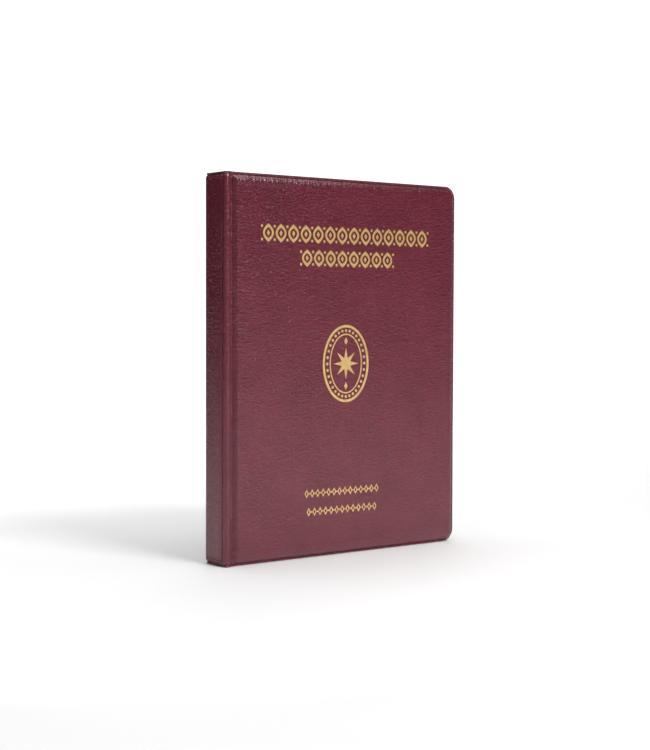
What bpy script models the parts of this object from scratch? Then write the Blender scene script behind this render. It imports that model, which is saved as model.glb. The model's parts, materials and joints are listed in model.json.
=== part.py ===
"""Pocket album for pressed coins: a padded, heat-sealed vinyl cover round eight clear pocket leaves.

The album stands closed on its bottom edge. X runs from the spine to the fore-edge, -Y is the front
cover, +Z is up, and the origin is the middle of the footprint. Lengths are in metres.

Every panel is a sandwich, from outside to inside: skin, foam pad, board, lining. The skin is a shallow
tray whose rim is sealed to the lining, and that rim is the thin lip round the whole album.
"""

import math

import bmesh
import bpy
from mathutils import Vector

MM = 0.001

# Driving dimensions of the closed album
WIDTH = 126 * MM
HEIGHT = 160 * MM
THICKNESS = 16 * MM

# Layers of a panel, and the gap that keeps two touching layers apart
SKIN = 0.4 * MM
FOAM = 0.6 * MM
BOARD = 1.3 * MM
LINING = 0.4 * MM
LAP = 0.1 * MM
GAP = 0.3 * MM

# Depth of each layer below the panel's face
FOAM_TOP = SKIN + LAP
BOARD_TOP = FOAM_TOP + FOAM + LAP
BOARD_FOOT = BOARD_TOP + BOARD
LINING_TOP = BOARD_FOOT + LAP
PANEL = LINING_TOP + LINING
RISE = BOARD_FOOT - SKIN  # height of the face above the sealed lip

# The lip and the padded shoulder inside it
END_LIP = 1.2 * MM  # at the head and at the foot
FORE_LIP = 1.7 * MM
HINGE_LIP = 1.5 * MM
SHOULDER = 3.6 * MM
SPINE_LIP = 0.3 * MM
SPINE_SHOULDER = 1.1 * MM
FORE_CORNER = 5.5 * MM
HINGE_CORNER = 0.9 * MM
SMALLEST_CORNER = 0.2 * MM
CORNER_SEGMENTS = 6
SHOULDER_STEPS = 3

# How far the pad and the board reach into the shoulder: a share of its width, and a clearance
FOAM_FOOT_REACH = (0.32, 0.35 * MM)
FOAM_TOP_REACH = (0.88, 0.1 * MM)
BOARD_REACH = (0.24, SKIN)

# The two hinges: a hollow bead of vinyl round each spine corner. Its centre line is the turning axis.
BEAD_RADIUS = 1.75 * MM
BEAD_INSET = 1.9 * MM  # from the spine's face and from the cover's face to the bead's centre line
BEAD_SEGMENTS = 14
BEAD_ARC = (0, -196)  # degrees, from the cover's side round to the spine's side
CHANNEL = 4.0 * MM  # from the spine's face to the cover's edge
SPINE_HALF = 5.3 * MM
LINING_FOLD = 1.0 * MM  # outer radius of the lining where it crosses a hinge
SPINE_LINING_INSET = SPINE_HALF - (THICKNESS / 2 - LINING_TOP - LINING_FOLD) + GAP
BEAD_LIP = 1.0 * MM  # from the album's ends to the bead's ends

# The leaves
LEAVES = 8
LEAF_PITCH = 1.2 * MM
LEAF_MARGIN = 5.0 * MM  # from the cover's edge to the leaf's edge
LEAF_FOOT = 6.0 * MM
LEAF_CORNER = 4.0 * MM
LEAF_FOLD_CORNER = 0.5 * MM
FILM = 0.2 * MM
LEAF = 2 * FILM + LAP
ROWS = ("bottom", "middle", "top")
ROW_PITCH = 48.6 * MM
POCKET_HEIGHT = 44.2 * MM
POCKETS_FROM_FOLD = 4.0 * MM  # bare film between the fold and the pockets
POCKET_EDGE = 1.0 * MM  # bare film outside the pockets

# The binding strip in the spine, with one tab for each leaf
TAB = 0.3 * MM
TAB_LENGTH = 3.3 * MM
STRIP = 0.4 * MM
STRIP_CUT = 0.5 * MM
FOLD = 0.5 * MM  # from a tab's end to its leaf's fold line

# Where things are
SPINE_FACE = -WIDTH / 2
FORE_EDGE = WIDTH / 2
FRONT_FACE = -THICKNESS / 2
STRIP_X = SPINE_FACE + PANEL + GAP
TAB_END = STRIP_X + STRIP + TAB_LENGTH
LEAF_FOLD_X = TAB_END + FOLD
LEAF_EDGE = FORE_EDGE - LEAF_MARGIN

COLOURS = {  # base colour, roughness
    "vinyl": ((0.110, 0.016, 0.026), 0.45),
    "lining": ((0.095, 0.015, 0.024), 0.60),
    "foam": ((0.70, 0.68, 0.62), 0.95),
    "board": ((0.34, 0.29, 0.23), 0.90),
    "clear_film": ((0.86, 0.89, 0.92), 0.12),
}


def clear_scene():
    for obj in list(bpy.data.objects):
        bpy.data.objects.remove(obj)


def make_materials():
    made = {}
    for name, (colour, roughness) in COLOURS.items():
        material = bpy.data.materials.new(name)
        material.use_nodes = True
        shader = material.node_tree.nodes["Principled BSDF"]
        shader.inputs["Base Color"].default_value = (*colour, 1.0)
        shader.inputs["Roughness"].default_value = roughness
        shader.inputs["Metallic"].default_value = 0.0
        made[name] = material
    return made


def body(name, x, y):
    """An empty on a body's upright turning axis. Its pieces are its children."""
    empty = bpy.data.objects.new(name, None)
    empty.location = (x, y, 0)
    bpy.context.collection.objects.link(empty)
    return empty


def finish(name, bm, parent, material):
    """Turns a bmesh built in world positions into a named piece whose origin is on its body's axis."""
    bmesh.ops.recalc_face_normals(bm, faces=bm.faces)
    if bm.calc_volume(signed=True) < 0:
        bmesh.ops.reverse_faces(bm, faces=bm.faces)
    bmesh.ops.translate(bm, verts=bm.verts, vec=-parent.location)
    mesh = bpy.data.meshes.new(name)
    bm.to_mesh(mesh)
    bm.free()
    mesh.materials.append(material)
    mesh.shade_smooth()
    mesh.set_sharp_from_angle(angle=math.radians(35))
    piece = bpy.data.objects.new(name, mesh)
    bpy.context.collection.objects.link(piece)
    piece.parent = parent
    return piece


def front_panel(u, depth, z):
    """A point of the front cover: u along X, depth below its face."""
    return Vector((u, FRONT_FACE + depth, z))


def back_panel(u, depth, z):
    return Vector((u, -FRONT_FACE - depth, z))


def spine_panel(u, depth, z):
    """A point of the spine: u along Y, depth below its face."""
    return Vector((SPINE_FACE + depth, u, z))


def arc(centre, radius, start, end, segments):
    """Points of an arc, between two angles in degrees."""
    angles = [math.radians(start + (end - start) * i / segments) for i in range(segments + 1)]
    return [(centre[0] + radius * math.cos(a), centre[1] + radius * math.sin(a)) for a in angles]


def rounded_outline(low, high, low_radius, high_radius):
    """A rectangle from low to high, with its corners rounded at its low-u side and at its high-u side."""
    a, b = max(low_radius, SMALLEST_CORNER), max(high_radius, SMALLEST_CORNER)
    return [
        *arc((high[0] - b, low[1] + b), b, -90, 0, CORNER_SEGMENTS),
        *arc((high[0] - b, high[1] - b), b, 0, 90, CORNER_SEGMENTS),
        *arc((low[0] + a, high[1] - a), a, 90, 180, CORNER_SEGMENTS),
        *arc((low[0] + a, low[1] + a), a, 180, 270, CORNER_SEGMENTS),
    ]


class Panel:
    """One of the three stiff panels: where it lies, its footprint, and how wide its lip and shoulder are."""

    def __init__(self, place, low_u, high_u, lips, shoulders, corners, lining_inset=0.0):
        self.place = place
        self.low_u = low_u
        self.high_u = high_u
        self.lips = lips  # at the low-u side, the high-u side, and the two ends
        self.shoulders = shoulders
        self.corners = corners  # radius at the low-u side and at the high-u side
        self.lining_inset = lining_inset  # from the skin's edge to the lining's, at both upright sides

    def outline(self, lip_share, shoulder_share, extra=0.0):
        """The footprint drawn in by a share of the lip and of the shoulder, and then by a fixed amount."""
        low, high, end = (
            lip * lip_share + shoulder * shoulder_share + extra
            for lip, shoulder in zip(self.lips, self.shoulders)
        )
        return rounded_outline(
            (self.low_u + low, end),
            (self.high_u - high, HEIGHT - end),
            self.corners[0] - low,
            self.corners[1] - max(high, end),
        )

    def loft(self, rings):
        """A solid through rings of (outline, depth), which all have as many points, capped at both ends."""
        bm = bmesh.new()
        loops = [[bm.verts.new(self.place(u, depth, z)) for u, z in outline] for outline, depth in rings]
        count = len(loops[0])
        for lower, upper in zip(loops, loops[1:]):
            for i in range(count):
                j = (i + 1) % count
                bm.faces.new((lower[i], lower[j], upper[j], upper[i]))
        bm.faces.new(loops[0])
        bm.faces.new(loops[-1])
        return bm

    def skin(self):
        """The tray: down its inside, out under the lip, and back up over the padded shoulder to the face."""
        turns = [math.pi / 2 * i / SHOULDER_STEPS for i in range(SHOULDER_STEPS + 1)]
        inside = [
            (self.outline(1, 1 - math.cos(t), SKIN * math.cos(t)), SKIN + RISE * (1 - math.sin(t)))
            for t in reversed(turns)
        ]
        outside = [(self.outline(1, 1 - math.cos(t)), RISE * (1 - math.sin(t))) for t in turns]
        lip = [(self.outline(0, 0), BOARD_FOOT), (self.outline(0, 0), RISE)]
        return self.loft([*inside, *lip, *outside])

    def foam(self):
        """A thin pad with a sloped edge, which gives the face its soft shoulder."""
        foot, top = self.outline(1, *FOAM_FOOT_REACH), self.outline(1, *FOAM_TOP_REACH)
        return self.loft([(foot, FOAM_TOP + FOAM), (top, FOAM_TOP)])

    def board(self):
        edge = self.outline(1, *BOARD_REACH)
        return self.loft([(edge, BOARD_FOOT), (edge, BOARD_TOP)])

    def lining(self):
        low, high = (self.low_u + self.lining_inset, 0), (self.high_u - self.lining_inset, HEIGHT)
        edge = rounded_outline(low, high, *self.corners)
        return self.loft([(edge, PANEL), (edge, LINING_TOP)])


def make_panel(name, panel, parent, materials):
    finish(f"{name}_skin", panel.skin(), parent, materials["vinyl"])
    finish(f"{name}_foam_pad", panel.foam(), parent, materials["foam"])
    finish(f"{name}_board", panel.board(), parent, materials["board"])
    finish(f"{name}_lining", panel.lining(), parent, materials["lining"])


def upright(profile, foot, top):
    """A solid that stands on a profile of (x, y) points."""
    bm = bmesh.new()
    face = bm.faces.new([bm.verts.new((x, y, foot)) for x, y in profile])
    grown = bmesh.ops.extrude_face_region(bm, geom=[face])
    risen = [v for v in grown["geom"] if isinstance(v, bmesh.types.BMVert)]
    bmesh.ops.translate(bm, verts=risen, vec=(0, 0, top - foot))
    return bm


def ribbon(centre, radius, thickness, start, end):
    """The profile of a strip bent to an arc: its outside one way, and its inside back."""
    outside = arc(centre, radius, start, end, BEAD_SEGMENTS)
    inside = arc(centre, radius - thickness, end, start, BEAD_SEGMENTS)
    return outside + inside


def mirrored(profile, side):
    return [(x, y * side) for x, y in profile]


def make_hinge(name, side, parent, materials):
    """The skin and the lining where they cross a spine corner. side is 1 at the front and -1 at the back."""
    centre = (SPINE_FACE + BEAD_INSET, FRONT_FACE + BEAD_INSET)
    bead = ribbon(centre, BEAD_RADIUS, SKIN, *BEAD_ARC)
    bead = upright(mirrored(bead, side), BEAD_LIP, HEIGHT - BEAD_LIP)
    finish(f"{name}_hinge_skin", bead, parent, materials["vinyl"])
    corner = (SPINE_FACE + LINING_TOP + LINING_FOLD, FRONT_FACE + LINING_TOP + LINING_FOLD)
    fold = ribbon(corner, LINING_FOLD, LINING, -90, -180)
    reach = (SPINE_FACE + CHANNEL - GAP) - corner[0]
    ends = [(x + reach, y) for x, y in (fold[-1], fold[0])]
    fold = [*fold, *ends]
    finish(f"{name}_hinge_lining", upright(mirrored(fold, side), 0, HEIGHT), parent, materials["lining"])


def leaf_y(number):
    """Y of the middle of a leaf's film. Leaf 1 lies next to the front cover."""
    return (number - (LEAVES + 1) / 2) * LEAF_PITCH + (LEAF - FILM) / 2


def make_binding(parent, materials):
    """A comb-shaped extrusion sealed into the spine. Each tab is fused to one leaf."""
    half = (LEAVES - 1) / 2 * LEAF_PITCH + LEAF / 2
    root = STRIP_X + STRIP
    profile = [(STRIP_X, half - STRIP_CUT), (STRIP_X, STRIP_CUT - half), (root, -half)]
    for number in range(1, LEAVES + 1):
        y = leaf_y(number)
        profile += [(root, y - TAB / 2), (TAB_END, y - TAB / 2), (TAB_END, y + TAB / 2), (root, y + TAB / 2)]
    profile.append((root, half))
    binding = upright(profile, LEAF_FOOT, HEIGHT - LEAF_FOOT)
    finish("binding_strip", binding, parent, materials["clear_film"])


def sheet(outline, y, thickness):
    """A flat sheet in the XZ plane, from an outline of (x, z) points."""
    bm = bmesh.new()
    face = bm.faces.new([bm.verts.new((x, y, z)) for x, z in outline])
    grown = bmesh.ops.extrude_face_region(bm, geom=[face])
    moved = [v for v in grown["geom"] if isinstance(v, bmesh.types.BMVert)]
    bmesh.ops.translate(bm, verts=moved, vec=(0, thickness, 0))
    return bm


def rectangle(low, high):
    return [(low[0], low[1]), (high[0], low[1]), (high[0], high[1]), (low[0], high[1])]


def make_leaf(number, parent, materials):
    """A clear film, and in front of it three strips, each the front of a row of pockets open at the top."""
    name = f"leaf_{number}"
    film_y = leaf_y(number) - FILM / 2
    film = rounded_outline(
        (LEAF_FOLD_X + GAP, LEAF_FOOT), (LEAF_EDGE, HEIGHT - LEAF_FOOT), LEAF_FOLD_CORNER, LEAF_CORNER
    )
    finish(f"{name}_film", sheet(film, film_y, FILM), parent, materials["clear_film"])
    left, right = LEAF_FOLD_X + POCKETS_FROM_FOLD, LEAF_EDGE - POCKET_EDGE
    for row, row_name in enumerate(ROWS):
        foot = LEAF_FOOT + POCKET_EDGE + row * ROW_PITCH
        strip = rectangle((left, foot), (right, foot + POCKET_HEIGHT))
        strip = sheet(strip, film_y - LAP - FILM, FILM)
        finish(f"{name}_pockets_{row_name}", strip, parent, materials["clear_film"])


def main():
    clear_scene()
    materials = make_materials()
    spine = body("spine", 0, 0)
    hinge_x, hinge_y = SPINE_FACE + BEAD_INSET, FRONT_FACE + BEAD_INSET
    covers = {
        "front_cover": (front_panel, body("front_cover", hinge_x, hinge_y)),
        "back_cover": (back_panel, body("back_cover", hinge_x, -hinge_y)),
    }
    for name, (place, parent) in covers.items():
        lips, shoulders = (HINGE_LIP, FORE_LIP, END_LIP), (SHOULDER, SHOULDER, SHOULDER)
        corners = (HINGE_CORNER, FORE_CORNER)
        panel = Panel(place, SPINE_FACE + CHANNEL, FORE_EDGE, lips, shoulders, corners)
        make_panel(name, panel, parent, materials)

    lips, shoulders = (SPINE_LIP, SPINE_LIP, END_LIP), (SPINE_SHOULDER, SPINE_SHOULDER, SHOULDER)
    corners = (HINGE_CORNER, HINGE_CORNER)
    panel = Panel(spine_panel, -SPINE_HALF, SPINE_HALF, lips, shoulders, corners, SPINE_LINING_INSET)
    make_panel("spine", panel, spine, materials)
    make_hinge("front", 1, spine, materials)
    make_hinge("back", -1, spine, materials)
    make_binding(spine, materials)
    for number in range(1, LEAVES + 1):
        make_leaf(number, body(f"leaf_{number}", LEAF_FOLD_X, leaf_y(number)), materials)


main()
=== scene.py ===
"""Looks of the pocket album for pressed coins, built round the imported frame.

The builders work in millimetres, and a mesh gets its points in metres when it is made. The front half
of the cover is built once, and the back half is the same half mirrored in Y (side is 1 at the front
and -1 at the back). Every sheet of vinyl is a closed thin solid between two grids of points.
"""

import json
import math

import bpy
import numpy as np
from mathutils import Matrix, Vector


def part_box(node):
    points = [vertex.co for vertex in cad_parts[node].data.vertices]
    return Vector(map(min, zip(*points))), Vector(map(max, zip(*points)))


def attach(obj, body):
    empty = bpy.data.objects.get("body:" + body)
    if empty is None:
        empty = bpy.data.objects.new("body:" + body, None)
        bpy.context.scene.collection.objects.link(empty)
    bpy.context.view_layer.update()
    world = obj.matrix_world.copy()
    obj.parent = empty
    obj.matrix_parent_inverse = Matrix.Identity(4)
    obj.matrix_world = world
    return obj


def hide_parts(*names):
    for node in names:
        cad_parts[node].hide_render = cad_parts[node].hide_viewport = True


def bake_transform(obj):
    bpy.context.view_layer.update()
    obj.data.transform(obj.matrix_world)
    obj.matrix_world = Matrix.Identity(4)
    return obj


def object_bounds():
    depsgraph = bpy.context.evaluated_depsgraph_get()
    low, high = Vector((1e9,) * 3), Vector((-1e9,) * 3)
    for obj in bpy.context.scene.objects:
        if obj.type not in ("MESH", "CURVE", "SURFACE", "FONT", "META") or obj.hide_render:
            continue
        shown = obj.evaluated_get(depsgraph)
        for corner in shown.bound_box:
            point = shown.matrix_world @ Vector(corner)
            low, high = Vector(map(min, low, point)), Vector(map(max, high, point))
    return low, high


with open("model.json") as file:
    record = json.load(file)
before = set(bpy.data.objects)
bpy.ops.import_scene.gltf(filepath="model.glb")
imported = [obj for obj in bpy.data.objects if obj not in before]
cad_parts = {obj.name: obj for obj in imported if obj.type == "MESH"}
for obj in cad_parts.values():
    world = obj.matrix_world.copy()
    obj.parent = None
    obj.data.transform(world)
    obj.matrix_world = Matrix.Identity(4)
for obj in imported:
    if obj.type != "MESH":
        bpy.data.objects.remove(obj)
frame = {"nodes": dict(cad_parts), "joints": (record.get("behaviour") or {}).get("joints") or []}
cad_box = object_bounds()

MM = 0.001


def box_mm(node):
    """The lowest and the highest corner of a CAD node, in millimetres."""
    return [np.array(corner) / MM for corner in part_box(node)]


# The frame's own measures, in millimetres
SPINE_FACE, FRONT_FACE, _ = np.array(cad_box[0]) / MM
FORE_EDGE, _, HEIGHT = np.array(cad_box[1]) / MM
HINGE = next(np.array(j["pos_m"]) / MM for j in frame["joints"] if j["name"] == "front_cover_hinge")
COVER_SKIN, SPINE_SKIN = box_mm("front_cover_skin"), box_mm("spine_skin")
COVER_LINING, SPINE_LINING = box_mm("front_cover_lining"), box_mm("spine_lining")

# The skin: a sheet of vinyl whose rim is sealed flat, and which is puffed up by foam inside the seal
SHEET = 0.4
SKIN_DEPTH = SHEET - 0.05  # keeps the skin's inner face clear of the foam
COVER_LIP_Y = COVER_SKIN[1][1] - SHEET
SPINE_LIP_X = SPINE_SKIN[1][0] - SHEET
SPINE_SEAL_X = SPINE_LIP_X - 0.85  # the seal across the spine's two ends lies nearer its face
LIP = 1.15
FORE_LIP = 1.7
FORE_CORNER = 5.5
PANEL_RIGHT = FORE_EDGE - FORE_LIP
PANEL_STEEP = 1.3  # width of the steep foot of the shoulder
PANEL_SOFT = 4.6  # width of the soft turn into the face
STEEP_SHARE = 0.4
PANEL_CORNER = 3.6
CROWN_SHARE = 0.04  # share of the height that the padding gains only well inside the panel
CROWN_WIDTH = 16.0
RIM_WIDTH = 0.8
RIM_HEIGHT = 0.2

# The corner between spine and cover
CORNER_START = -3.4  # Y where the spine's flat face gives way to the corner
SPINE_SHOULDER = (0.4, 0.6)
BEAD_RADIUS = 1.65
BEAD_FROM, BEAD_TO = 155.0, 361.0
GROOVE_FILL = 0.1  # how high the groove's floor lies between the sealed lip and the cover's face
GROOVE_RAMP = 2.3
GROOVE_TURN = 4.5  # how roundly the panel's edge turns from the groove to the ends
GROOVE_END = COVER_SKIN[0][0] + 0.1
SEAL_ROUND_BEAD = [(-0.95, 1.0), (-1.25, 0.1), (-0.9, -0.9), (0.2, -1.25), (1.3, -0.7)]  # from the hinge
SEAL_STRAIGHT = 0.9
SPINE_END = (1.2, 0.9)  # width of the lip and of the shoulder at the spine's two ends
BEAD_END = (1.1, 1.3)  # the same at the bead's two ends
LIP_FLARE = 0.35
LIP_FLARE_END = 2.0
FAR = 3 * FORE_EDGE  # so far past an edge that its side of a rectangle has no effect
CORNER_REACH = 2.2 * FORE_CORNER  # how far from the fore-edge its rounded corners draw the columns in


def smooth(x):
    """0 up to 0, 1 from 1 on, and a soft step between them."""
    t = np.clip(x, 0, 1)
    return t * t * (3 - 2 * t)


def rise(distance, width, roundness=2.0):
    """Height of a padded shoulder, from 0 at its foot to 1 where it meets the face."""
    share = np.clip(np.asarray(distance) / width, 0, 1)
    return (1 - (1 - share) ** roundness) ** (1 / roundness)


def inside_rectangle(x, z, low, high, low_radius, high_radius):
    """How far a point lies inside a rectangle whose corners are rounded by one radius at each X side."""
    centre = (np.asarray(low) + high) / 2
    half = (np.asarray(high) - low) / 2
    radius = np.where(x < centre[0], low_radius, high_radius)
    across = np.abs(x - centre[0]) - half[0] + radius
    up = np.abs(z - centre[1]) - half[1] + radius
    outside = np.hypot(np.maximum(across, 0), np.maximum(up, 0))
    return radius - outside - np.minimum(np.maximum(across, up), 0)


def spline(points, count):
    """Points along a smooth curve that starts and ends at the first and last of its control points."""
    p = np.array([points[0], points[0], *points, points[-1], points[-1]], float)
    at = np.linspace(0, len(p) - 3 - 1e-9, count)
    i = at.astype(int)
    t = (at - i)[:, None]
    return (
        p[i] * (1 - t) ** 3
        + p[i + 1] * (3 * t**3 - 6 * t**2 + 4)
        + p[i + 2] * (-3 * t**3 + 3 * t**2 + 3 * t + 1)
        + p[np.minimum(i + 3, len(p) - 1)] * t**3
    ) / 6


def arc(centre, radius, start, end, count):
    """Points of an arc, between two angles in degrees."""
    angles = np.radians(np.linspace(start, end, count))
    return np.stack([centre[0] + radius * np.cos(angles), centre[1] + radius * np.sin(angles)], axis=1)


def steps_from_edge(length):
    """Distances from an edge: close together over the lip and the shoulder, and then wider and wider."""
    over_rim = [0, 0.04, 0.12, 0.25, 0.4, 0.6, 0.8, 0.95]
    over_foot = np.arange(1.05, 2.2, 0.1)
    over_turn = np.arange(2.3, 3.3, 0.14)
    to_face = np.arange(3.4, 6, 0.24)
    at = [*over_rim, *over_foot, *over_turn, *to_face]
    step, growth, widest = 0.4, 1.35, 3.0
    while at[-1] + step < length:
        at.append(at[-1] + step)
        step = min(step * growth, widest)
    return np.array(at)


def rows():
    """Z of the rows of points, from the foot to the head."""
    up = steps_from_edge(HEIGHT / 2 - 1)
    return np.concatenate([up, [HEIGHT / 2], HEIGHT - up[::-1]])


def end_distance(z):
    """Distance from the nearer of the album's two ends."""
    return np.minimum(z, HEIGHT - z)


def round_corners(columns, from_end, edge, corner, reach):
    """X of every column at every row, drawn in near an edge so that the sheet's corners are round."""
    cut = corner - np.clip(from_end, 0, corner)
    drawn_edge = edge - (corner - np.sqrt(np.maximum(corner**2 - cut**2, 0)))
    start = edge - reach
    share = np.clip((columns - start) / reach, 0, None)
    return np.where(columns < start, columns, start + share * (drawn_edge[:, None] - start))


# ---------------------------------------------------------------- meshes


def add_object(name, vertices, faces, material, uv=None, sharp=50):
    """A mesh object made from points in millimetres, with its faces turned outwards."""
    points = np.asarray(vertices, float)
    mesh = bpy.data.meshes.new(name)
    mesh.from_pydata((points * MM).tolist(), [], faces)
    triangles = [(f[0], f[i], f[i + 1]) for f in faces for i in range(1, len(f) - 1)]
    a, b, c = (points[[t[k] for t in triangles]] for k in range(3))
    if (a * np.cross(b, c)).sum() < 0:
        mesh.flip_normals()
    if uv is not None:
        layer = mesh.uv_layers.new(name="sheet")
        corners = np.zeros(len(mesh.loops), np.int32)
        mesh.loops.foreach_get("vertex_index", corners)
        layer.data.foreach_set("uv", np.asarray(uv, np.float32)[corners].ravel())
    mesh.materials.append(material)
    mesh.shade_smooth()
    mesh.set_sharp_from_angle(angle=math.radians(sharp))
    mesh.update()
    obj = bpy.data.objects.new(name, mesh)
    bpy.context.scene.collection.objects.link(obj)
    return obj


def sheet_solid(name, outer, inner, material, uv, attributes=None):
    """A closed sheet between two grids of points, each rows by columns by three."""
    count_rows, count_columns = outer.shape[:2]
    total = count_rows * count_columns
    index = np.arange(total).reshape(count_rows, count_columns)

    def quads(grid):
        corners = grid[:-1, :-1], grid[:-1, 1:], grid[1:, 1:], grid[1:, :-1]
        return np.stack([c.ravel() for c in corners], axis=1)

    border = np.concatenate([index[0, :-1], index[:-1, -1], index[-1, :0:-1], index[:0:-1, 0]])
    following = np.roll(border, -1)
    walls = np.stack([border, border + total, following + total, following], axis=1)
    faces = np.concatenate([quads(index), quads(index)[:, ::-1] + total, walls])
    points = np.concatenate([outer.reshape(-1, 3), inner.reshape(-1, 3)])
    flat = np.concatenate([uv.reshape(-1, 2)] * 2)
    obj = add_object(name, points, faces.tolist(), material, flat)
    for attribute, values in (attributes or {}).items():
        data = obj.data.attributes.new(attribute, "FLOAT", "POINT").data
        data.foreach_set("value", np.concatenate([values.ravel()] * 2).astype(np.float32))
    return obj


def grid_normals(points):
    """Unit normals of a grid of points, rows by columns by three."""
    across = np.gradient(points, axis=1)
    up = np.gradient(points, axis=0)
    normal = np.cross(across, up)
    return normal / np.maximum(np.linalg.norm(normal, axis=2, keepdims=True), 1e-12)


def mirrored(points, side):
    return points * np.array([1, side, 1])


# ---------------------------------------------------------------- the cover's skin


def undulation(x, z):
    """The slight unevenness of foam under vinyl, in millimetres."""
    wide = np.sin(x * 0.071 + 1.3 + 0.8 * np.sin(z * 0.043)) * np.sin(z * 0.058 + 0.6)
    narrow = np.sin(x * 0.19 + z * 0.07 + 2.0) * np.sin(z * 0.16 - x * 0.05)
    return 0.035 * wide + 0.012 * narrow


def panel_height(x, z):
    """Share of the cover's full height at a point of its front, 0 outside the padded panel."""
    low, high = (-FAR, LIP), (PANEL_RIGHT, HEIGHT - LIP)
    inside = inside_rectangle(x, z, low, high, PANEL_CORNER, PANEL_CORNER)
    shoulder = STEEP_SHARE * rise(inside, PANEL_STEEP) + (1 - STEEP_SHARE) * rise(inside, PANEL_SOFT)
    return (1 - CROWN_SHARE) * shoulder + CROWN_SHARE * smooth(inside / CROWN_WIDTH)


def face_y(x, z):
    """Y of the front cover's outer face over its padded panel."""
    height = panel_height(x, z)
    return COVER_LIP_Y + height * (FRONT_FACE - COVER_LIP_Y - undulation(x, z))


def end_rise(z, lip, shoulder):
    """Share of full height near the album's two ends, outside the cover's panel."""
    return rise(end_distance(z) - lip, shoulder)


def rim(distance):
    """Height of the rounded rim that the seal leaves along the edge."""
    share = np.clip(distance / RIM_WIDTH, 0, 1)
    return RIM_HEIGHT * np.sin(math.pi * share) ** 0.8


def corner_paths():
    """The outside of the corner at full height, and the line its sealed ends follow, both as (x, y)."""
    shoulder_x, shoulder_y = SPINE_SHOULDER
    valley = HINGE[1] + BEAD_RADIUS * math.sin(math.radians(BEAD_FROM))
    turn = np.radians(np.linspace(0, 90, 9))[1:]
    fall = np.stack(
        [
            SPINE_FACE + shoulder_x * (1 - np.cos(turn)),
            valley + shoulder_y * (1 - np.sin(turn)),
        ],
        axis=1,
    )
    spine_part = np.concatenate([[(SPINE_FACE, CORNER_START)], [(SPINE_FACE, valley + shoulder_y)], fall])
    bead = arc(HINGE, BEAD_RADIUS, BEAD_FROM, BEAD_TO, 30)
    groove_y = COVER_LIP_Y + GROOVE_FILL * (FRONT_FACE - COVER_LIP_Y)
    flat = [(GROOVE_END - 0.3, groove_y), (GROOVE_END, groove_y)]
    x, y = HINGE[:2]
    along_spine = [(SPINE_SEAL_X, CORNER_START), (SPINE_SEAL_X, CORNER_START - SEAL_STRAIGHT)]
    round_bead = [(x + across, y + out) for across, out in SEAL_ROUND_BEAD]
    sealed = spline([*along_spine, *round_bead, (GROOVE_END, COVER_LIP_Y - LIP_FLARE)], 200)
    return spine_part, np.concatenate([bead, flat]), sealed


def lengths(path):
    """Distance along a path at each of its points."""
    return np.concatenate([[0], np.cumsum(np.linalg.norm(np.diff(path, axis=0), axis=1))])


def at_lengths(path, wanted):
    along = lengths(path)
    return np.stack([np.interp(wanted, along, path[:, k]) for k in range(path.shape[1])], axis=1)


def corner_grid(z, which):
    """The spine's or the bead's part of the corner: points, and distance from the spine's middle."""
    spine_part, bead_part, sealed = corner_paths()
    whole = np.concatenate([spine_part, bead_part])
    along = lengths(whole)
    share = along / along[-1]
    split = len(spine_part)
    chosen = slice(0, split) if which == "spine" else slice(split - 1, None)
    full = whole[chosen]
    share = share[chosen]
    lip = at_lengths(sealed, share * lengths(sealed)[-1])
    toward_bead = smooth((share - 0.05) / 0.2)
    lip_width = SPINE_END[0] + (BEAD_END[0] - SPINE_END[0]) * toward_bead
    shoulder = SPINE_END[1] + (BEAD_END[1] - SPINE_END[1]) * toward_bead
    height = end_rise(z[:, None], lip_width[None], shoulder[None])
    tangent = np.gradient(lip, axis=0)
    normal = np.stack([tangent[:, 1], -tangent[:, 0]], axis=1)
    normal /= np.linalg.norm(normal, axis=1, keepdims=True)
    raised = rim(end_distance(z))[:, None, None] * normal[None]
    flat = lip[None] + raised + height[..., None] * (full - lip)
    points = np.concatenate([flat, np.broadcast_to(z[:, None, None], (*height.shape, 1))], axis=2)
    return points, along[chosen] - CORNER_START


def cover_columns():
    """X of the cover's columns of points, from the groove at the hinge to the fore-edge."""
    from_left = steps_from_edge((FORE_EDGE - GROOVE_END) / 2 - 1)
    from_left = from_left[from_left > 0.9] - 0.95
    from_right = steps_from_edge((FORE_EDGE - GROOVE_END) / 2 - 1)
    return np.concatenate([GROOVE_END + from_left, FORE_EDGE - from_right[::-1]])


def cover_grid(z):
    """Points of the cover's part of the skin."""
    x = round_corners(cover_columns(), end_distance(z), FORE_EDGE, FORE_CORNER, CORNER_REACH)
    zz = np.broadcast_to(z[:, None], x.shape)
    low, high = (GROOVE_END, -GROOVE_TURN / 4), (FAR, HEIGHT + GROOVE_TURN / 4)
    beside = smooth(inside_rectangle(x, zz, low, high, GROOVE_TURN, GROOVE_TURN) / GROOVE_RAMP)
    end = end_rise(zz, *BEAD_END)
    height = end + (panel_height(x, zz) - end) * smooth((x - GROOVE_END) / 2)
    height = height * (GROOVE_FILL + (1 - GROOVE_FILL) * beside)
    edge = inside_rectangle(x, zz, (-FAR, 0), (FORE_EDGE, HEIGHT), 1, FORE_CORNER)
    flare = LIP_FLARE * (1 - smooth((x - GROOVE_END) / LIP_FLARE_END))
    sealed = COVER_LIP_Y - flare * (1 - end) - rim(edge)
    full = FRONT_FACE - undulation(x, zz) * beside
    y = sealed + height * (full - COVER_LIP_Y)
    return np.stack([x, y, zz], axis=2)


def band(distance, middle, width):
    """Weight of a soft band along an edge: 1 at its middle, and close to 0 two widths away."""
    return np.exp(-(((distance - middle) / width) ** 2))


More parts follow.
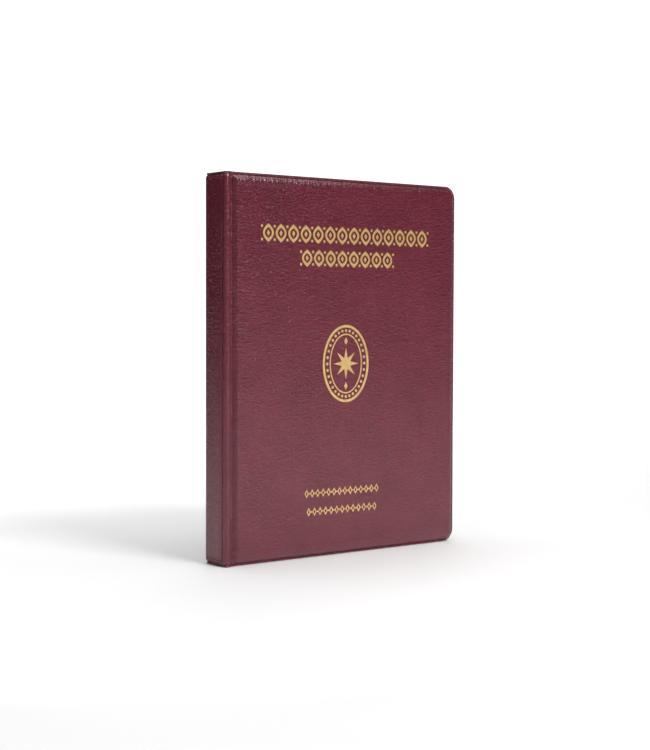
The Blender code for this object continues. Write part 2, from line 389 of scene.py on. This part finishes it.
# The gathers: where each band of them lies, from the inner edge of the lip, and how wide it is
END_GATHERS = (2.0, 1.5)
FORE_GATHERS = (1.4, 1.1)
SPINE_GATHERS = (0.7, 0.8)
FORE_GATHER_SHARE = 0.3  # strength beside the gathers at the head
SPINE_GATHER_SHARE = 0.5
FOOT_GATHER_SHARE = 0.2
FAR_GATHER_SHARE = 0.25  # what is left of them far from the hinge
GATHER_FADE = 40


def cover_puckers(x, z):
    """Weights of the gathers along the cover's two ends and along its fore-edge."""
    from_end = end_distance(z)[:, None] - LIP
    from_fore = FORE_EDGE - x - FORE_LIP
    on_cover = smooth((x - GROOVE_END) / 2.0)
    fading = FAR_GATHER_SHARE + (1 - FAR_GATHER_SHARE) * band(x, GROOVE_END, GATHER_FADE)
    by_end = np.where(z > HEIGHT / 2, 1.0, FOOT_GATHER_SHARE)[:, None]
    across = band(from_end, *END_GATHERS) * on_cover * (fading * by_end)
    upward = FORE_GATHER_SHARE * band(from_fore, *FORE_GATHERS) * (from_end > 1)
    return {"pucker_across": across, "pucker_upward": upward}


def bend_line(before, after):
    """Two places on a line across the front hinge, one before it and one after it."""
    towards = np.array([1, -1, 0]) / math.sqrt(2)
    return (HINGE - before * towards) * MM, (HINGE + after * towards) * MM


def make_cover_skin(side, material):
    """Padded cover, groove and bead in one sheet, up to the pressed line beside the spine."""
    z = rows()
    corner, corner_along = corner_grid(z, "bead")
    outer = np.concatenate([corner, cover_grid(z)[:, 1:]], axis=1)
    along = np.concatenate([corner_along, corner_along[-1] + cover_columns()[1:] - GROOVE_END])
    uv = np.stack(np.broadcast_arrays(along[None], z[:, None]), axis=2)
    inner = outer - grid_normals(outer) * SKIN_DEPTH
    place = "front" if side == 1 else "back"
    skin = sheet_solid(
        f"{place}_cover_padded_skin",
        mirrored(outer, side),
        mirrored(inner, side),
        material,
        uv,
        cover_puckers(outer[..., 0], z),
    )
    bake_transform(skin)
    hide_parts(f"{place}_cover_skin", f"{place}_hinge_skin")
    return skin


def make_spine_skin(material):
    """The padded strip between the two pressed lines of the spine."""
    z = rows()
    corner, along = corner_grid(z, "spine")
    middle_y = np.linspace(0, CORNER_START, 6)[:-1]
    raised = rim(end_distance(z))[:, None]
    share = end_rise(z, *SPINE_END)[:, None]
    x = (SPINE_SEAL_X - raised) + share * (SPINE_FACE - SPINE_SEAL_X)
    x = np.broadcast_to(x, (len(z), len(middle_y)))
    y = np.broadcast_to(middle_y[None], x.shape)
    zz = np.broadcast_to(z[:, None], x.shape)
    half = np.concatenate([np.stack([x, y, zz], axis=2), corner], axis=1)
    half_along = np.concatenate([-middle_y, along])
    outer = np.concatenate([mirrored(half, -1)[:, :0:-1], half], axis=1)
    from_middle = np.concatenate([-half_along[:0:-1], half_along])
    uv = np.stack(np.broadcast_arrays(from_middle[None], z[:, None]), axis=2)
    inner = outer - grid_normals(outer) * SKIN_DEPTH
    gathered = SPINE_GATHER_SHARE * band(end_distance(z)[:, None] - SPINE_END[0], *SPINE_GATHERS)
    whole = np.ones(outer.shape[:2])
    weights = {"pucker_across": gathered * whole, "pucker_upward": 0 * whole}
    skin = sheet_solid("spine_padded_skin", outer, inner, material, uv, weights)
    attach(skin, "spine")
    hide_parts("spine_skin")
    return skin


# ---------------------------------------------------------------- linings


LINING_FOLD = 1.0  # radius of the lining's turn from the spine to the cover
SEAL_LINE = (1.5, 0.35)  # the pressed line round the lining: distance from the edge, and width
SEAL_LINE_DEPTH = 0.12


def make_lining(side, material):
    """The inner sheet of a cover, carried round the corner to the middle of the spine."""
    spine_x, cover_y = SPINE_LINING[0][0], COVER_LINING[0][1]
    centre = (spine_x + LINING_FOLD, cover_y + LINING_FOLD)
    corner = arc(centre, LINING_FOLD, 180, 270, 9)
    start = [(spine_x, y) for y in np.linspace(0, centre[1], 5)[:-1]]
    tail = FORE_EDGE - steps_from_edge(25)[::-1]
    columns = [*np.linspace(centre[0], tail[0], 36)[1:-1], *tail]
    path = np.array([*start, *corner, *[(x, cover_y) for x in columns]])
    along = lengths(path)
    z = rows()
    x = round_corners(path[:, 0], end_distance(z), FORE_EDGE, FORE_CORNER, CORNER_REACH)
    y = np.broadcast_to(path[:, 1][None], x.shape)
    zz = np.broadcast_to(z[:, None], x.shape)
    outside = np.stack([x, y, zz], axis=2)
    tangent = np.gradient(path, axis=0)
    inward = np.stack([-tangent[:, 1], tangent[:, 0]], axis=1)
    inward /= np.linalg.norm(inward, axis=1, keepdims=True)
    edge = inside_rectangle(x, zz, (-FAR, 0), (FORE_EDGE, HEIGHT), 1, FORE_CORNER)
    depth = SHEET - SEAL_LINE_DEPTH * band(edge, *SEAL_LINE)
    inside = outside + np.concatenate([inward, np.zeros((len(path), 1))], axis=1)[None] * depth[..., None]
    uv = np.stack(np.broadcast_arrays(along[None], z[:, None]), axis=2)
    place = "front" if side == 1 else "back"
    lining = sheet_solid(
        f"{place}_lining_sheet", mirrored(outside, side), mirrored(inside, side), material, uv
    )
    start, end = bend_line(1.0, 1.0)
    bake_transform(lining)
    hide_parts("spine_lining", f"{place}_hinge_lining", f"{place}_cover_lining")
    return lining


# ---------------------------------------------------------------- leaves


LEAVES = sum(name.endswith("_film") for name in frame["nodes"])
POCKET_ROWS = ("bottom", "middle", "top")
POCKETS = 4
WELD = 1.5
PRESSED = 0.12  # how deep a weld is pressed into the strip's front
PRESSED_BACK = 0.06
PUFF = 0.12  # how far a pocket stands out between its welds
PUFF_AT_FOOT = 0.35
LEAF_GAP = 0.02  # between the binding strip and a leaf's film
LEAF_CORNER = 4.0
LEAF_FOLD = 2.4  # width at the binding over which a leaf's film is finely divided
LEAF_WAVE = 0.05


def bands(low, high, welds):
    """Stations from low to high, close together at each weld and wider between them."""
    at = {low, high}
    for weld in welds:
        at.update(weld + np.array([-0.95, -0.75, -0.6, -0.3, 0, 0.3, 0.6, 0.75, 0.95]) * WELD)
    at = sorted(a for a in at if low <= a <= high)
    full = []
    for a, b in zip(at, at[1:]):
        full += list(np.linspace(a, b, max(2, math.ceil((b - a) / 2.2) + 1))[:-1])
    return np.array([*full, at[-1]])


def weld_share(values, welds):
    """1 in the middle of a weld, 0 from just outside it."""
    nearest = np.min([np.abs(values - w) for w in welds], axis=0)
    return 1 - smooth((nearest - WELD * 0.4) / (WELD * 0.45))


def make_film(number, material):
    """The leaf's backing film, with a soft wave, and finely divided next to the binding."""
    low, high = box_mm(f"leaf_{number}_film")
    strip_end = box_mm("binding_strip")[1][0]
    start = strip_end + LEAF_GAP
    fold_end = start + LEAF_FOLD
    across = np.concatenate([np.linspace(start, fold_end, 13)[:-1], np.linspace(fold_end, high[0], 60)])
    up = np.linspace(low[2], high[2], 70)
    from_end = np.minimum(up - low[2], high[2] - up)
    x = round_corners(across, from_end, high[0], LEAF_CORNER, 3 * LEAF_CORNER)
    zz = np.broadcast_to(up[:, None], x.shape)
    wave = np.sin(x * 0.11 + number) * np.sin(zz * 0.07 + 2 * number)
    ripple = LEAF_WAVE * wave * smooth((x - start) / 20)
    front = np.stack([x, low[1] + ripple, zz], axis=2)
    back = np.stack([x, high[1] + ripple, zz], axis=2)
    uv = np.stack([x, zz], axis=2)
    film = sheet_solid(f"leaf_{number}_backing", front, back, material, uv)
    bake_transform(film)
    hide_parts(f"leaf_{number}_film")
    return film


def make_pockets(number, row, material):
    """A strip welded to the film at its foot, its sides and between its pockets, and open at the top."""
    low, high = box_mm(f"leaf_{number}_pockets_{row}")
    welds = np.linspace(low[0] + WELD / 2, high[0] - WELD / 2, POCKETS + 1)
    foot = [low[2] + WELD / 2]
    across, up = bands(low[0], high[0], welds), bands(low[2], high[2], foot)
    x, z = np.meshgrid(across, up)
    welded = np.maximum(weld_share(x, welds), weld_share(z, foot))
    pitch = welds[1] - welds[0]
    across_pocket = np.sin(math.pi * np.clip((x - welds[0]) / pitch % 1.0, 0, 1))
    up_pocket = PUFF_AT_FOOT + (1 - PUFF_AT_FOOT) * smooth((z - low[2]) / (high[2] - low[2]))
    puff = PUFF * np.abs(across_pocket) * up_pocket * (1 - welded)
    front = np.stack([x, low[1] + PRESSED * welded - puff, z], axis=2)
    back = np.stack([x, high[1] + PRESSED_BACK * welded - puff, z], axis=2)
    uv = np.stack([x, z], axis=2)
    strip = sheet_solid(f"leaf_{number}_pocket_strip_{row}", front, back, material, uv)
    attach(strip, f"leaf_{number}")
    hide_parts(f"leaf_{number}_pockets_{row}")
    return strip


# ---------------------------------------------------------------- foil


FOIL_PROUD = 0.04
FOIL_DEEP = 0.05

# The bands: left and right end, middle, height, and number of motifs
TITLE_BAND = (-45, 45, 135.9, 7.6, 14)
SECOND_BAND = (-25, 25, 126.0, 7.2, 8)
LOWER_BAND = (-23.3, 17.7, 27.2, 3.6, 14)
FOOT_BAND = (-22.2, 16.6, 19.4, 3.6, 13)
BAND_STROKE = 0.95

# The medal: its middle, width and height, and how far inside its outline the rings and beads lie
MEDAL = ((-1.0, 81.6), 25.0, 33.0)
OUTER_RING = (0, 1.1)
INNER_RING = (3.7, 4.3)
BEAD_CIRCLE = 2.4
MEDAL_BEADS = 32
MEDAL_BEAD_RADIUS = 0.62
STAR_REACH = (0.27, 0.1)  # of the star's points and of its hollows, as shares of the medal's width
MEDAL_LOZENGE = (1.9, 3.2)
LOZENGE_RISE = 0.29  # of the lozenges above and below the star, as a share of the medal's height


def polygon(centre, corners):
    """A filled shape: its outline, and the middle that its triangles meet in."""
    return {"outline": np.array(corners, float), "middle": np.array(centre, float)}


def ring(outer, inner):
    return {"outline": np.array(outer, float), "hole": np.array(inner, float)}


def disc(centre, radius, count=20):
    return polygon(centre, arc(centre, radius, 0, 360, count + 1)[:-1])


def ellipse(centre, width, height, count=72):
    turn = np.linspace(0, 2 * math.pi, count, endpoint=False)
    return np.stack([centre[0] + width / 2 * np.cos(turn), centre[1] + height / 2 * np.sin(turn)], axis=1)


def pointed_oval(centre, width, height, count=9):
    """The outline of two equal arcs that meet in a point at the top and at the foot."""
    up = np.linspace(-1, 1, count)
    bulge = width / 2 * (1 - up**2)
    right = np.stack([centre[0] + bulge, centre[1] + up * height / 2], axis=1)
    left = np.stack([centre[0] - bulge, centre[1] + up * height / 2], axis=1)[::-1]
    return np.concatenate([right[:-1], left[:-1]])


def lozenge(centre, width, height):
    x, z = centre
    across, up = width / 2, height / 2
    return polygon(centre, [(x + across, z), (x, z + up), (x - across, z), (x, z - up)])


def star(centre, points, outer, inner):
    turn = np.pi / 2 + np.arange(2 * points) * np.pi / points
    reach = np.where(np.arange(2 * points) % 2 == 0, outer, inner)
    corners = [centre[0] + reach * np.cos(turn), centre[1] + reach * np.sin(turn)]
    return polygon(centre, np.stack(corners, axis=1))


def ornament_band(left, right, middle, height, motifs, stroke):
    """Pointed ovals with a lozenge in each, and two beads beside each oval and at both ends."""
    shapes = []
    pitch = (right - left) / motifs
    for i in range(motifs):
        x = left + (i + 0.5) * pitch
        width = pitch * 0.86
        outer = pointed_oval((x, middle), width, height)
        inner = pointed_oval((x, middle), width - 2 * stroke, height - 3.2 * stroke)
        shapes.append(ring(outer, inner))
        shapes.append(lozenge((x, middle), (width - 2 * stroke) * 0.45, (height - 3 * stroke) * 0.55))
    for i in range(motifs + 1):
        x = left + i * pitch
        for z in (middle + height * 0.36, middle - height * 0.36):
            shapes.append(disc((x, z), stroke * 0.62, 12))
    return shapes


def small_band(left, right, middle, height, motifs):
    """A light row of lozenges with dots between them."""
    shapes = []
    pitch = (right - left) / motifs
    for i in range(motifs):
        x = left + (i + 0.5) * pitch
        outer = lozenge((x, middle), pitch * 0.74, height)["outline"]
        inner = lozenge((x, middle), pitch * 0.42, height * 0.57)["outline"]
        shapes.append(ring(outer, inner))
    for i in range(1, motifs):
        shapes.append(disc((left + i * pitch, middle), height * 0.1, 10))
    return shapes


def medal(centre, width, height):
    """A pressed coin: an oval with two rings, a circle of beads and an eight-pointed star."""

    def inset(distance, count=72):
        return ellipse(centre, width - 2 * distance, height - 2 * distance, count)

    shapes = [ring(inset(outer), inset(inner)) for outer, inner in (OUTER_RING, INNER_RING)]
    shapes.append(star(centre, 8, width * STAR_REACH[0], width * STAR_REACH[1]))
    for bead in inset(BEAD_CIRCLE, MEDAL_BEADS):
        shapes.append(disc(bead, MEDAL_BEAD_RADIUS, 12))
    for side in (-1, 1):
        shapes.append(lozenge((centre[0], centre[1] + side * height * LOZENGE_RISE), *MEDAL_LOZENGE))
    return shapes


def make_foil(name, shapes, material):
    """Foil stamped on the front cover: flat shapes a little proud of the vinyl, on its real surface."""
    points, faces = [], []

    def place(outline, lift):
        outline = np.atleast_2d(outline)
        start = len(points)
        y = face_y(outline[:, 0], outline[:, 1]) - lift
        points.extend(np.stack([outline[:, 0], y, outline[:, 1]], axis=1).tolist())
        return list(range(start, start + len(outline)))

    def walls(loop, low_loop):
        for i in range(len(loop)):
            j = (i + 1) % len(loop)
            faces.append((loop[i], loop[j], low_loop[j], low_loop[i]))

    for shape in shapes:
        top = place(shape["outline"], FOIL_PROUD)
        low = place(shape["outline"], -FOIL_DEEP)
        walls(top, low)
        if "hole" in shape:
            top_hole = place(shape["hole"], FOIL_PROUD)
            low_hole = place(shape["hole"], -FOIL_DEEP)
            walls(top_hole[::-1], low_hole[::-1])
            for i in range(len(top)):
                j = (i + 1) % len(top)
                faces.append((top[j], top[i], top_hole[i], top_hole[j]))
                faces.append((low[i], low[j], low_hole[j], low_hole[i]))
        else:
            (top_middle,) = place(shape["middle"], FOIL_PROUD)
            (low_middle,) = place(shape["middle"], -FOIL_DEEP)
            for i in range(len(top)):
                j = (i + 1) % len(top)
                faces.append((top[j], top[i], top_middle))
                faces.append((low[i], low[j], low_middle))
    foil = add_object(name, points, faces, material)
    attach(foil, "front_cover")
    return foil


# ---------------------------------------------------------------- materials


MIX_FIRST, MIX_SECOND, MIX_RESULT = 6, 7, 2  # the colour sockets of a mix node


class Nodes:
    """A material's node tree, with short ways to add a node and to join two."""

    def __init__(self, name, base, roughness, metallic=0.0):
        self.material = bpy.data.materials.new(name)
        self.material.use_nodes = True
        self.tree = self.material.node_tree
        self.shader = self.tree.nodes["Principled BSDF"]
        self.set(self.shader, {"Base Color": (*base, 1), "Roughness": roughness, "Metallic": metallic})

    def set(self, node, values):
        for socket, value in values.items():
            node.inputs[socket].default_value = value

    def add(self, kind, values=None, **settings):
        node = self.tree.nodes.new(kind)
        for key, value in settings.items():
            setattr(node, key, value)
        self.set(node, values or {})
        return node

    def link(self, source, output, target, socket):
        self.tree.links.new(source.outputs[output], target.inputs[socket])

    def sheet_place(self, scale):
        """The place on the sheet in millimetres, times a scale along and up."""
        place = self.add("ShaderNodeUVMap", uv_map="sheet")
        mapping = self.add("ShaderNodeMapping", {"Scale": (scale[0], scale[1], 1)})
        self.link(place, "UV", mapping, "Vector")
        return mapping

    def space_place(self, scale):
        """The place in space, in metres, times a scale."""
        place = self.add("ShaderNodeTexCoord")
        mapping = self.add("ShaderNodeMapping", {"Scale": scale})
        self.link(place, "Object", mapping, "Vector")
        return mapping

    def noise(self, place, scale, detail=3.0, roughness=0.5, distortion=0.0):
        values = {"Scale": scale, "Detail": detail, "Roughness": roughness, "Distortion": distortion}
        noise = self.add("ShaderNodeTexNoise", values)
        self.link(place, "Vector", noise, "Vector")
        return noise

    def maths(self, operation, first, second):
        """Arithmetic on two inputs, each a number or a (node, output)."""
        node = self.add("ShaderNodeMath", operation=operation)
        for i, value in enumerate((first, second)):
            if isinstance(value, tuple):
                self.tree.links.new(value[0].outputs[value[1]], node.inputs[i])
            else:
                node.inputs[i].default_value = value
        return node, "Value"

    def spread(self, source, low, high, to_low, to_high):
        """A value from one span mapped onto another."""
        values = {"From Min": low, "From Max": high, "To Min": to_low, "To Max": to_high}
        node = self.add("ShaderNodeMapRange", values)
        self.tree.links.new(source[0].outputs[source[1]], node.inputs["Value"])
        return node, "Result"

    def mix(self, share, first, second):
        """Between two colours, by a (node, output)."""
        node = self.add("ShaderNodeMix", data_type="RGBA")
        node.inputs[MIX_FIRST].default_value = (*first, 1)
        node.inputs[MIX_SECOND].default_value = (*second, 1)
        self.tree.links.new(share[0].outputs[share[1]], node.inputs["Factor"])
        return node, MIX_RESULT

    def bump(self, height, distance, strength=1.0):
        """Bump from a (node, output) whose 1 stands for a distance in millimetres."""
        node = self.add("ShaderNodeBump", {"Strength": strength, "Distance": distance * MM})
        self.tree.links.new(height[0].outputs[height[1]], node.inputs["Height"])
        self.link(node, "Normal", self.shader, "Normal")
        return node

    def into(self, source, socket):
        self.tree.links.new(source[0].outputs[source[1]], self.shader.inputs[socket])


VINYL = (0.11, 0.0123, 0.024)
VINYL_LIGHT = (0.122, 0.0145, 0.0275)
VINYL_DEEP = (0.096, 0.0103, 0.0205)
GRAIN_DEPTH = 0.062  # millimetres
LINING_GRAIN_DEPTH = 0.025
PUCKER_DEPTH = 0.8


def leather_grain(nodes, scale=1.0):
    """Height of the leather grain pressed into the vinyl: short wrinkles, longer across than up."""
    place = nodes.sheet_place((0.5 * scale, 0.95 * scale))
    wrinkles = nodes.noise(place, 1.0, 2.0, 0.55, 0.6)
    fold = nodes.maths("ABSOLUTE", nodes.maths("SUBTRACT", (wrinkles, "Fac"), 0.5), 0.0)
    fine = nodes.noise(place, 2.3, 2.5, 0.6, 0.4)
    domes = nodes.spread(fold, 0.0, 0.16, 0.0, 1.0)
    return nodes.maths("ADD", domes, nodes.maths("MULTIPLY", (fine, "Fac"), 0.8))


def puckers(nodes):
    """Height of the small folds across the padded shoulders, where the sheet is gathered."""
    total = None
    for attribute, scale in (("pucker_across", (1.15, 0.25)), ("pucker_upward", (0.25, 1.15))):
        place = nodes.sheet_place(scale)
        folds = nodes.noise(place, 1.0, 1.0, 0.5, 0.5)
        mask = nodes.add("ShaderNodeAttribute", attribute_name=attribute)
        height = nodes.maths("MULTIPLY", (folds, "Fac"), (mask, "Fac"))
        total = height if total is None else nodes.maths("ADD", total, height)
    return total


def cover_vinyl():
    nodes = Nodes("cover_vinyl_grained", VINYL, 0.2)
    nodes.set(nodes.shader, {"Specular IOR Level": 0.75})
    grain = leather_grain(nodes)
    tone = nodes.noise(nodes.sheet_place((0.05, 0.05)), 1.0, 4.0, 0.6)
    colour = nodes.mix(nodes.spread((tone, "Fac"), 0.3, 0.7, 0.0, 1.0), VINYL_DEEP, VINYL_LIGHT)
    nodes.into(colour, "Base Color")
    nodes.into(nodes.spread(grain, 0.2, 1.2, 0.24, 0.17), "Roughness")
    pressed = nodes.maths("MULTIPLY", grain, GRAIN_DEPTH)
    gathered = nodes.maths("MULTIPLY", puckers(nodes), PUCKER_DEPTH)
    nodes.bump(nodes.maths("ADD", pressed, gathered), 1.0)
    return nodes.material


def lining_vinyl():
    nodes = Nodes("lining_vinyl_matte", (0.14, 0.017, 0.032), 0.55)
    grain = leather_grain(nodes, 1.4)
    tone = nodes.noise(nodes.sheet_place((0.04, 0.04)), 1.0, 3.0)
    colour = nodes.mix((tone, "Fac"), (0.11, 0.013, 0.025), (0.16, 0.02, 0.036))
    nodes.into(colour, "Base Color")
    nodes.into(nodes.spread(grain, 0.2, 1.2, 0.62, 0.5), "Roughness")
    nodes.bump(nodes.maths("MULTIPLY", grain, LINING_GRAIN_DEPTH), 1.0)
    return nodes.material


def clear_vinyl():
    nodes = Nodes("clear_vinyl_film", (0.88, 0.9, 0.92), 0.14)
    nodes.set(nodes.shader, {"Alpha": 0.38, "Specular IOR Level": 0.6})
    ripple = nodes.noise(nodes.sheet_place((0.05, 0.05)), 1.0, 3.0)
    nodes.into(nodes.spread((ripple, "Fac"), 0.3, 0.7, 0.1, 0.2), "Roughness")
    tone = nodes.mix((ripple, "Fac"), (0.86, 0.89, 0.92), (0.92, 0.93, 0.94))
    nodes.into(tone, "Base Color")
    nodes.bump((ripple, "Fac"), 0.25)
    return nodes.material


def binding_vinyl():
    nodes = Nodes("binding_vinyl", (0.84, 0.87, 0.9), 0.22)
    nodes.set(nodes.shader, {"Alpha": 0.7, "Specular IOR Level": 0.5})
    streaks = nodes.noise(nodes.space_place((900, 900, 40)), 1.0, 3.0)
    tone = nodes.mix((streaks, "Fac"), (0.8, 0.83, 0.86), (0.9, 0.92, 0.93))
    nodes.into(tone, "Base Color")
    nodes.bump((streaks, "Fac"), 0.05)
    return nodes.material


def foam():
    nodes = Nodes("open_cell_foam", (0.7, 0.68, 0.6), 0.95)
    cells = nodes.noise(nodes.space_place((1500, 1500, 1500)), 1.0, 3.0, 0.7)
    tone = nodes.mix((cells, "Fac"), (0.5, 0.48, 0.42), (0.82, 0.8, 0.73))
    nodes.into(tone, "Base Color")
    nodes.bump((cells, "Fac"), 0.2)
    return nodes.material


def board():
    nodes = Nodes("grey_board", (0.36, 0.31, 0.25), 0.9)
    fibres = nodes.noise(nodes.space_place((500, 500, 1400)), 1.0, 5.0, 0.7)
    tone = nodes.mix((fibres, "Fac"), (0.28, 0.24, 0.19), (0.45, 0.4, 0.33))
    nodes.into(tone, "Base Color")
    nodes.bump((fibres, "Fac"), 0.05)
    return nodes.material


def gold_foil():
    nodes = Nodes("gold_foil", (0.86, 0.6, 0.24), 0.42, 0.75)
    place = nodes.space_place((1000, 1000, 1000))
    wear = nodes.noise(place, 0.35, 4.0, 0.6)
    worn = nodes.spread((wear, "Fac"), 0.35, 0.65, 0.0, 1.0)
    tone = nodes.mix(worn, (0.76, 0.5, 0.18), (0.95, 0.68, 0.3))
    nodes.into(tone, "Base Color")
    nodes.into(nodes.spread((wear, "Fac"), 0.3, 0.7, 0.52, 0.36), "Roughness")
    grain = nodes.noise(place, 1.1, 3.0, 0.6)
    nodes.bump((grain, "Fac"), 0.05)
    return nodes.material


def floor_paint():
    nodes = Nodes("white_floor", (0.86, 0.86, 0.86), 0.7)
    nodes.set(nodes.shader, {"Specular IOR Level": 0.2})
    return nodes.material


# ---------------------------------------------------------------- the studio


CAMERA_YAW = 37.79  # degrees from +Y towards +X
CAMERA_TILT = 2.335  # degrees below level
CAMERA_ROLL = 0.173
CAMERA_PLACE = (-0.4051, -0.5146, 0.1031)
CAMERA_LENS = 72.91


def make_camera():
    data = bpy.data.cameras.new("camera")
    data.lens = CAMERA_LENS
    data.sensor_width = 36
    data.clip_start = 0.01
    data.clip_end = 100
    camera = bpy.data.objects.new("camera", data)
    turn = (
        Matrix.Rotation(-math.radians(CAMERA_YAW), 4, "Z")
        @ Matrix.Rotation(math.radians(90 - CAMERA_TILT), 4, "X")
        @ Matrix.Rotation(math.radians(CAMERA_ROLL), 4, "Z")
    )
    camera.matrix_world = Matrix.Translation(CAMERA_PLACE) @ turn
    bpy.context.scene.collection.objects.link(camera)
    bpy.context.scene.camera = camera


FLOOR_RADIUS = 0.85
FLOOR_PLACE = (0.2, -0.2, -0.0001)


def make_floor():
    turn = np.linspace(0, 2 * math.pi, 96, endpoint=False)
    round_floor = [(FLOOR_RADIUS * math.cos(a), FLOOR_RADIUS * math.sin(a), 0) for a in turn]
    mesh = bpy.data.meshes.new("floor")
    mesh.from_pydata(round_floor, [], [tuple(range(len(round_floor)))])
    mesh.materials.append(floor_paint())
    floor = bpy.data.objects.new("floor", mesh)
    floor.location = FLOOR_PLACE
    bpy.context.scene.collection.objects.link(floor)


def softbox(name, place, target, size, power, glossy=True, spread=180):
    data = bpy.data.lights.new(name, "AREA")
    data.shape = "RECTANGLE"
    data.size, data.size_y = size
    data.energy = power
    data.spread = math.radians(spread)
    light = bpy.data.objects.new(name, data)
    direction = Vector(target) - Vector(place)
    light.location = place
    light.rotation_mode = "QUATERNION"
    light.rotation_quaternion = direction.to_track_quat("-Z", "Y")
    light.visible_camera = False
    light.visible_glossy = glossy
    bpy.context.scene.collection.objects.link(light)


BACKDROP_WHITE = 1.25
ROOM_GREY = 0.03
BACKDROP_EDGE = (0.75, 0.93)  # cosine of the angle from the view, where the backdrop starts and is full


def make_world():
    """A white backdrop behind the album as the camera sees it, and a dimmer room all round."""
    world = bpy.data.worlds.new("studio")
    bpy.context.scene.world = world
    world.use_nodes = True
    tree = world.node_tree
    background = tree.nodes["Background"]
    place = tree.nodes.new("ShaderNodeTexCoord")
    towards = tree.nodes.new("ShaderNodeVectorMath")
    towards.operation = "DOT_PRODUCT"
    yaw = math.radians(CAMERA_YAW)
    towards.inputs[1].default_value = (math.sin(yaw), math.cos(yaw), 0)
    tree.links.new(place.outputs["Generated"], towards.inputs[0])
    share = tree.nodes.new("ShaderNodeMapRange")
    share.interpolation_type = "SMOOTHSTEP"
    share.inputs["From Min"].default_value = BACKDROP_EDGE[0]
    share.inputs["From Max"].default_value = BACKDROP_EDGE[1]
    share.inputs["To Min"].default_value = ROOM_GREY
    share.inputs["To Max"].default_value = BACKDROP_WHITE
    tree.links.new(towards.outputs["Value"], share.inputs["Value"])
    tree.links.new(share.outputs["Result"], background.inputs["Strength"])
    background.inputs["Color"].default_value = (1, 1, 1, 1)


def make_lights():
    middle = (0, 0, HEIGHT / 2 * MM)
    softbox("key", (0.09, -0.97, 0.95), middle, (0.45, 0.45), 10.2)
    softbox("left_fill", (-1.1, -0.35, 0.7), middle, (0.6, 0.6), 0.8)
    softbox("overhead", (0.05, 0.05, 1.0), (0.05, 0.05, 0), (1.1, 1.1), 9.2)
    softbox("behind", (0.35, 0.75, 0.8), (0.35, 0.75, 0), (1.2, 0.3), 5, spread=90)
    softbox("shoulder_strip", (0.62, -0.78, 0.85), middle, (0.7, 0.2), 0.3)
    softbox("low_front", (0.03, -0.2, 0.006), (0.03, 0, 0.02), (0.3, 0.02), 0.25, False)
    softbox("low_left", (-0.25, -0.03, 0.006), (-0.06, 0, 0.02), (0.2, 0.02), 0.11, False)


# ---------------------------------------------------------------- putting it together


def dress_cad_nodes():
    """Gives the CAD nodes that stay in view a procedural material."""
    materials = {"foam_pad": foam(), "board": board(), "binding_strip": binding_vinyl()}
    for name, node in frame["nodes"].items():
        for ending, material in materials.items():
            if name.endswith(ending):
                for slot in node.material_slots:
                    slot.material = material


def make_stamping():
    material = gold_foil()
    make_foil("foil_title_band", ornament_band(*TITLE_BAND, BAND_STROKE), material)
    make_foil("foil_second_band", ornament_band(*SECOND_BAND, BAND_STROKE), material)
    make_foil("foil_medal", medal(*MEDAL), material)
    make_foil("foil_lower_band", small_band(*LOWER_BAND), material)
    make_foil("foil_foot_band", small_band(*FOOT_BAND), material)


def main():
    bpy.context.scene.view_settings.view_transform = "Standard"
    make_camera()
    vinyl, lining, clear = cover_vinyl(), lining_vinyl(), clear_vinyl()
    for side in (1, -1):
        make_cover_skin(side, vinyl)
        make_lining(side, lining)
    make_spine_skin(vinyl)
    for number in range(1, LEAVES + 1):
        make_film(number, clear)
        for row in POCKET_ROWS:
            make_pockets(number, row, clear)
    make_stamping()
    dress_cad_nodes()
    make_floor()
    make_world()
    make_lights()


main()
